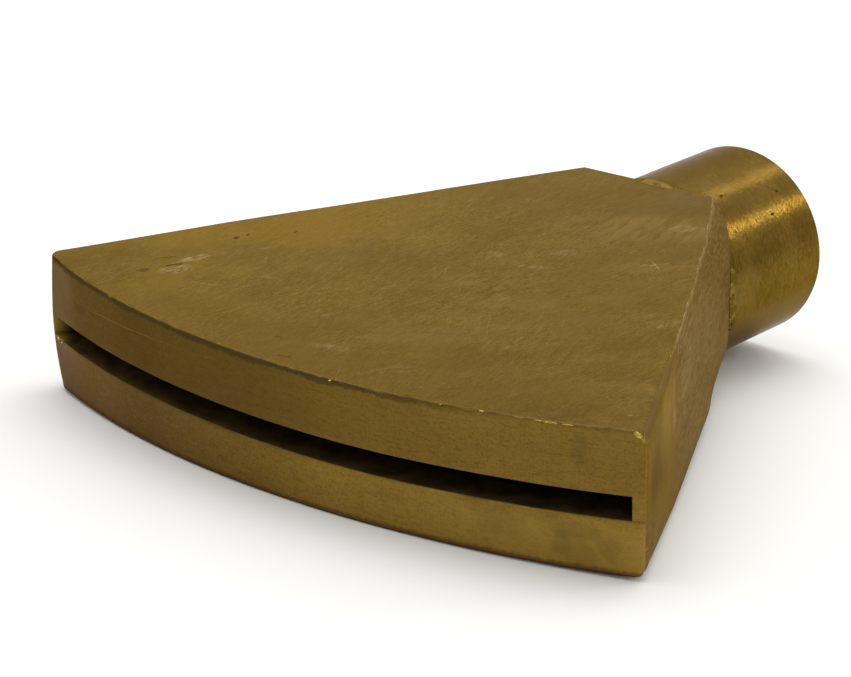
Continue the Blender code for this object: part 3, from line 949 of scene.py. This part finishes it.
# burrs coloured bright: the brightness is a painted glint
BURR_GLINT = speckled_edge("burr_painted_glint", (0.30, 0.195, 0.050), (0.62, 0.46, 0.15), 0.45)
BOX_MATERIALS = [TOP, FRONT, SIDE, INSIDE, TOP_EDGE, UPRIGHT, SEAM_EDGE, BOTTOM_EDGE]
FACE_FINISH = {"top": TOP, "bottom": TOP, "front": FRONT, "side": SIDE, "back": TOP}
BARE_SIDE_FROM = -0.108  # in front of this the top right edge has no pale seam


def edge_finish(centre):
    """The finish of a rounded edge, from the two faces that it lies between."""
    names = ("top", "bottom", "side", "front", "back")
    nearest = sorted(zip(hull_depths(centre), names))
    if nearest[1][0] > EDGE_ROUNDING * 1.2:
        return INSIDE
    pair = {nearest[0][1], nearest[1][1]}
    if "bottom" in pair:
        return BOTTOM_EDGE
    if pair == {"top", "front"}:
        return TOP_EDGE
    if "front" in pair:
        return UPRIGHT if centre.x > 0 else FRONT
    return SIDE if pair == {"top", "side"} and centre.y < BARE_SIDE_FROM else SEAM_EDGE


def paint_box(piece):
    """Gives each polygon of a box piece the finish of the face or edge that it is on."""
    for material in BOX_MATERIALS:
        piece.data.materials.append(material)
    bm = bmesh.new()
    bm.from_mesh(piece.data)
    for face in bm.faces:
        finish = FACE_FINISH.get(face_kind(face)) or edge_finish(face.calc_center_median())
        face.material_index = BOX_MATERIALS.index(finish)
    bm.to_mesh(piece.data)
    bm.free()


# The box
def box_piece(name, node, outline, faces, cutter=None, grid=GRID):
    bm = prism(outline)
    for face in faces:
        trim(bm, face)
    piece = object_from(bm, name)
    if cutter is not None:
        subtract(piece, cutter)
    round_hull_edges(piece, slot_edges=cutter is not None)
    grid_cuts(piece, grid, "corner" in name or name == "front_bar")
    paint_box(piece)
    unevenness(piece)
    finish_piece(piece, node)
    return piece


def make_front_bar():
    past = 0.004  # how far the slot's tool reaches past the bar
    bm = prism(arc_band(-past, FRONT_PLATE + past, SLOT_END_LAND))
    trim(bm, (Vector((0, 0, SLOT_BOTTOM + SLOT_HEIGHT)), Vector((0, 0, 1))))
    trim(bm, (Vector((0, 0, SLOT_BOTTOM)), Vector((0, 0, -1))))
    slot = object_from(bm, "slot_tool")
    faces = [top_face(), bottom_face()]
    band = arc_band(0, FRONT_PLATE, 0)
    box_piece("front_bar", "front_plate", band, faces, slot, BAR_GRID)


def make_throat_plate():
    faces = [top_face(), bottom_face()]
    bm = bmesh.new()
    turn = Matrix.Translation((0, 0, SOCKET_AXIS_HEIGHT))
    turn = turn @ Matrix.Rotation(math.radians(90), 4, "X")
    radii = {"radius1": THROAT_RADIUS, "radius2": THROAT_RADIUS}
    bmesh.ops.create_cone(bm, cap_ends=True, segments=96, depth=0.04, matrix=turn, **radii)
    hole = object_from(bm, "throat_tool")
    box_piece("throat_plate", "back_plate", back_strip(-PLATE, 0, 0), faces, cutter=hole)


def make_panels():
    front = FRONT_PLATE + ROOT_GAP
    back = PLATE + ROOT_GAP
    broad = panel_outline(front, back, PLATE)
    box_piece("top_panel", "top_plate", broad, [top_face(), opposite(top_face(PLATE))])
    box_piece("bottom_panel", "bottom_plate", broad, [bottom_face(), opposite(bottom_face(PLATE))])
    between = [top_face(PLATE), bottom_face(PLATE)]
    for word, side in (("left", -1), ("right", 1)):
        outline = side_strip(side, front, back, 0, PLATE)
        box_piece(f"{word}_panel", f"{word}_side_plate", outline, between)


def make_corner_braze():
    for height, face in (("top", top_face), ("bottom", bottom_face)):
        for word, side in (("left", -1), ("right", 1)):
            outline = side_strip(side, FRONT_PLATE, PLATE, 0, PLATE)
            faces = [face(), opposite(face(PLATE))]
            name = f"{height}_{word}_corner"
            box_piece(f"{name}_braze", f"{name}_seam", outline, faces)


def make_butt_braze():
    front_end = FRONT_PLATE + ROOT_GAP
    back_end = PLATE + ROOT_GAP
    for height, face in (("top", top_face), ("bottom", bottom_face)):
        depth = [face(), opposite(face(PLATE))]
        band = arc_band(FRONT_PLATE, front_end, PLATE)
        box_piece(f"{height}_front_braze", f"{height}_front_seam", band, depth)
        strip = back_strip(-back_end, -PLATE, PLATE)
        box_piece(f"{height}_back_braze", f"{height}_back_seam", strip, depth)
    between = [top_face(PLATE), bottom_face(PLATE)]
    for word, side in (("left", -1), ("right", 1)):
        near_front = [front_corner(FRONT_PLATE, 0), front_corner(front_end, 0)]
        near_front += [front_corner(front_end, PLATE), front_corner(FRONT_PLATE, PLATE)]
        outline = [(side * x, y) for x, y in near_front]
        box_piece(f"{word}_front_braze", f"{word}_front_seam", outline, between)
        near_back = [(side_x(-back_end, 0), -back_end), (side_x(-PLATE, 0), -PLATE)]
        near_back += [(side_x(-PLATE, PLATE), -PLATE), (side_x(-back_end, PLATE), -back_end)]
        outline = [(side * x, y) for x, y in near_back]
        box_piece(f"{word}_back_braze", f"{word}_back_seam", outline, between)


# The socket
def lathe(name, rows, steps):
    """A closed body turned about the inlet axis. A row is y and a radius, or y and a function
    that gives the radius at an angle."""
    bm = bmesh.new()
    rings = []
    for y, radius in rows:
        ring = []
        for k in range(steps):
            angle = math.tau * k / steps
            r = radius(angle) if callable(radius) else radius
            height = SOCKET_AXIS_HEIGHT + r * math.sin(angle)
            ring.append(bm.verts.new((r * math.cos(angle), y, height)))
        rings.append(ring)
    for ring, following in zip(rings, rings[1:] + rings[:1]):
        for k in range(steps):
            n = (k + 1) % steps
            bm.faces.new((ring[k], ring[n], following[n], following[k]))
    bmesh.ops.recalc_face_normals(bm, faces=bm.faces)
    return object_from(bm, name)


def thread_radius(y, start, end):
    """The bore's radius at each angle, where a right-handed V groove runs along it."""
    def radius(angle):
        turns = (y - start) / THREAD_PITCH - angle / math.tau
        across = abs((turns % 1.0) - 0.5) * 2
        from_start, from_end = (y - start) / THREAD_PITCH, (end - y) / THREAD_PITCH
        fade = min(1.0, max(0.0, from_start), max(0.0, from_end) + 0.4)
        depth = min(1.0, max(0.0, (0.92 - across) / 0.8)) * fade
        return THREAD_MINOR_RADIUS + (THREAD_MAJOR_RADIUS - THREAD_MINOR_RADIUS) * depth
    return radius


def outline_radius(angle):
    """Distance from the inlet axis to the box's outline at its back face, at an angle."""
    spoke = Vector((math.cos(angle), math.sin(angle)))
    low, high = 0.02, 0.06
    for _ in range(20):
        middle = (low + high) / 2
        x, z = spoke.x * middle, SOCKET_AXIS_HEIGHT + spoke.y * middle
        half = HALF_BACK - (ground_away(0.0, z) if x > 0 else 0.0)
        inside = abs(x) < half and -BOTTOM_DROP < z < top_height(0)
        low, high = (middle, high) if inside else (low, middle)
    return low


def outer_radius(y):
    """The socket's outside, filed down to the box's outline where that is smaller."""
    def radius(angle):
        start = outline_radius(angle) if math.sin(angle) > -0.7 else SOCKET_RADIUS
        wave = 0.00006 * noise.noise(Vector((math.cos(angle) * 2, y * 60, math.sin(angle) * 2)))
        return min(SOCKET_RADIUS, start + 0.0001 + y * 0.55) + wave
    return radius


def make_socket():
    end = SOCKET_LENGTH
    thread_start = THROAT_LENGTH + RELIEF_LENGTH
    thread_end = end - MOUTH_CHAMFER
    outside = [0.0, 0.0005, 0.001, 0.0015, 0.002, 0.003, 0.004, 0.006, 0.009]
    outside += [0.009 + 0.003 * k for k in range(1, 12)]
    rows = [(y, outer_radius(y)) for y in outside]
    rows += [(end - RIM_CHAMFER, SOCKET_RADIUS)]
    rows += [(end - RIM_CHAMFER * 0.3, SOCKET_RADIUS - RIM_CHAMFER * 0.3)]
    rows += [(end, SOCKET_RADIUS - RIM_CHAMFER), (end, SOCKET_RADIUS - 0.003)]
    rows += [(end, THREAD_MINOR_RADIUS + MOUTH_CHAMFER)]
    count = int((thread_end - thread_start) / THREAD_PITCH * 12)
    for k in range(count + 1):
        y = thread_end + (thread_start - thread_end) * k / count
        rows.append((y, thread_radius(y, thread_start, thread_end)))
    rows += [(thread_start - 0.0001, RELIEF_RADIUS), (THROAT_LENGTH, RELIEF_RADIUS)]
    rows += [(THROAT_LENGTH, THROAT_RADIUS), (0.0, THROAT_RADIUS)]
    socket = lathe("socket", rows, 144)
    socket.data.materials.append(TURNED)
    finish_piece(socket, "inlet_socket")


def bead_section(angle, side, size):
    """A bead's outline at an angle, as radius and y, from the plate round to the socket."""
    edge = outline_radius(angle if side > 0 else math.pi - angle)
    lump = 1 + 0.35 * noise.noise(Vector((math.cos(angle) * 9, side * 3.0, math.sin(angle) * 9)))
    leg = size * lump
    foot = min(SOCKET_RADIUS + leg, max(edge - 0.0003, SOCKET_RADIUS + 0.0006))
    inner = SOCKET_RADIUS - 0.0012
    section = [(inner, -0.0022), (min(edge, foot) - 0.0002, -0.0022), (foot, 0.0), (foot, 0.0004)]
    for j in range(1, 6):
        t = j / 6
        sag = 0.16 * math.sin(math.pi * t)
        radius = foot + (SOCKET_RADIUS - foot) * (t + sag * (1 - t))
        section.append((radius, 0.0004 + leg * t * (1 - sag)))
    section += [(SOCKET_RADIUS - 0.0001, 0.0004 + leg), (inner, leg)]
    return section


def make_fillets():
    """The braze beads between the box's back and the socket, one in each quarter."""
    steps = 40
    for height, size, first, last in (("top", 0.0026, 24, 90), ("bottom", 0.0022, -60, -22)):
        for word, side in (("left", -1), ("right", 1)):
            bm = bmesh.new()
            rings = []
            for k in range(steps + 1):
                angle = math.radians(first + (last - first) * k / steps)
                if height == "top":
                    share = min(1.0, 0.2 + 0.8 * k / 10) * (1.0 - 0.62 * clamp((k - 24) / 10))
                else:
                    share = math.sqrt(math.sin(math.pi * (0.03 + 0.94 * k / steps)))
                ring = []
                for r, y in bead_section(angle, side, size * share):
                    z = SOCKET_AXIS_HEIGHT + r * math.sin(angle)
                    ring.append(bm.verts.new((side * r * math.cos(angle), y, z)))
                rings.append(ring)
            count = len(rings[0])
            for ring, following in zip(rings, rings[1:]):
                for k in range(count):
                    n = (k + 1) % count
                    bm.faces.new((ring[k], ring[n], following[n], following[k]))
            bm.faces.new(rings[0][::-1])
            bm.faces.new(rings[-1])
            bmesh.ops.recalc_face_normals(bm, faces=bm.faces)
            bead = object_from(bm, f"{height}_{word}_bead")
            bead.data.materials.append(BRAZE)
            finish_piece(bead, f"{height}_{word}_socket_fillet", 60)


BURR_HALF_THICKNESS = 0.0004


def make_burrs():
    """Small slivers of metal left standing on the front bar's edges, coloured bright as painted
    glints; the two at the right corner stand in for a glint.
    """
    slot_depth = FRONT_HEIGHT - SLOT_BOTTOM
    burrs = (  # x, depth below the top edge, half length, half height, tilt
        (-0.1034, slot_depth, 0.0007, 0.00040, 0.3),
        (-0.1008, slot_depth + 0.0004, 0.0006, 0.00040, -0.4),
        (0.0234, 0.0003, 0.0004, 0.00020, 0.0),
        (0.0572, 0.0002, 0.0005, 0.00018, 0.0),
        (0.0824, slot_depth, 0.0004, 0.00022, 0.0),
        (0.0687, 0.0002, 0.0008, 0.00020, 0.0),
        (0.0838, 0.0003, 0.0014, 0.00024, 0.0),
        (0.0868, 0.0004, 0.0021, 0.00032, 0.05),
        (0.0912, 0.0003, 0.0016, 0.00022, 0.0),
        (0.1086, 0.0009, 0.0013, 0.00065, 0.45),
        (0.1099, 0.0022, 0.0008, 0.00040, 0.95),
    )
    bm = bmesh.new()
    for x, depth, length, height, tilt in burrs:
        y = front_y(x)
        place = hand_worked(Vector((x, y, top_height(y) - depth)))
        turn = Matrix.Rotation(math.asin(x / FRONT_RADIUS), 3, "Z")
        turn = turn @ Matrix.Rotation(tilt, 3, "Y")
        half = Vector((length, BURR_HALF_THICKNESS, height))
        for vert in bmesh.ops.create_icosphere(bm, subdivisions=3, radius=1.0)["verts"]:
            lump = noise.noise_vector(vert.co * 1.7 + place * 500) * 0.25
            vert.co = turn @ ((vert.co + lump) * half) + place
    piece = object_from(bm, "edge_burrs_and_glints")
    piece.data.materials.append(BURR_GLINT)
    piece.data.shade_smooth()
    piece.matrix_world = LYING
    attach(piece, "root")


# Studio
def make_camera():
    a, e = math.radians(CAMERA_AZIMUTH), math.radians(CAMERA_ELEVATION)
    back = Vector((math.sin(a) * math.cos(e), -math.cos(a) * math.cos(e), math.sin(e)))
    data = bpy.data.cameras.new("camera")
    data.lens = CAMERA_LENS
    data.sensor_width = CAMERA_SENSOR
    data.clip_start, data.clip_end = 0.05, 20.0
    camera = bpy.data.objects.new("camera", data)
    bpy.context.scene.collection.objects.link(camera)
    look = (-back).to_track_quat("-Z", "Y").to_matrix().to_4x4()
    roll = Matrix.Rotation(math.radians(CAMERA_ROLL), 4, "Z")
    camera.matrix_world = Matrix.Translation(CAMERA_AIM + back * CAMERA_DISTANCE) @ look @ roll
    bpy.context.scene.camera = camera


def soft_light(name, place, size, power, colour=(1, 1, 1)):
    data = bpy.data.lights.new(name, "AREA")
    data.shape = "RECTANGLE"
    data.size, data.size_y = size
    data.energy = power
    data.color = colour
    lamp = bpy.data.objects.new(name, data)
    bpy.context.scene.collection.objects.link(lamp)
    lamp.location = place
    lamp.rotation_euler = (Vector((0, 0, 0.02)) - Vector(place)).to_track_quat("-Z", "Y").to_euler()


def make_world():
    """White to the camera; for the light, a soft studio that is brighter behind and above."""
    world = bpy.data.worlds.new("studio")
    world.use_nodes = True
    tree = world.node_tree
    tree.nodes.clear()
    direction = tree.nodes.new("ShaderNodeTexCoord").outputs["Generated"]
    slope = tree.nodes.new("ShaderNodeVectorMath")
    slope.operation = "DOT_PRODUCT"
    tree.links.new(direction, slope.inputs[0])
    slope.inputs[1].default_value = (-0.30, 0.45, 0.60)
    ramp = tree.nodes.new("ShaderNodeMapRange")
    tree.links.new(slope.outputs["Value"], ramp.inputs["Value"])
    for k, end in enumerate((-0.6, 0.8, 0.45, 1.10)):
        ramp.inputs[k + 1].default_value = end
    soft = tree.nodes.new("ShaderNodeBackground")
    tree.links.new(ramp.outputs["Result"], soft.inputs["Strength"])
    soft.inputs["Color"].default_value = (1.0, 0.985, 0.965, 1)
    white = tree.nodes.new("ShaderNodeBackground")
    white.inputs["Color"].default_value = (1, 1, 1, 1)
    choose = tree.nodes.new("ShaderNodeMixShader")
    path = tree.nodes.new("ShaderNodeLightPath")
    tree.links.new(path.outputs["Is Camera Ray"], choose.inputs["Fac"])
    tree.links.new(soft.outputs[0], choose.inputs[1])
    tree.links.new(white.outputs[0], choose.inputs[2])
    end = tree.nodes.new("ShaderNodeOutputWorld")
    tree.links.new(choose.outputs[0], end.inputs["Surface"])
    bpy.context.scene.world = world


def make_floor():
    bm = bmesh.new()
    bmesh.ops.create_grid(bm, x_segments=8, y_segments=8, size=4.0)
    floor = object_from(bm, "floor")
    g = Graph("pale_floor")
    mottle = g.noise(6, 3)
    colour = g.mix(mottle, (0.93, 0.93, 0.93), (0.96, 0.96, 0.96))
    floor.data.materials.append(g.set(Base_Color=colour, Roughness=0.9))


def make_studio():
    make_world()
    make_floor()
    soft_light("overhead", (-0.3, 0.2, 1.6), (1.6, 1.6), 9.0)
    soft_light("upper_strip", (-0.09, 1.38, 1.163), (0.17, 0.17), 1.0, STRIP_COLOUR)
    soft_light("lower_strip", (0.745, 1.38, 0.875), (0.17, 0.17), 2.0, STRIP_COLOUR)
    bpy.context.scene.view_settings.view_transform = "Standard"


make_camera()
make_studio()
make_front_bar()
make_throat_plate()
make_panels()
make_corner_braze()
make_butt_braze()
make_socket()
make_fillets()
make_burrs()
bpy.context.view_layer.update()
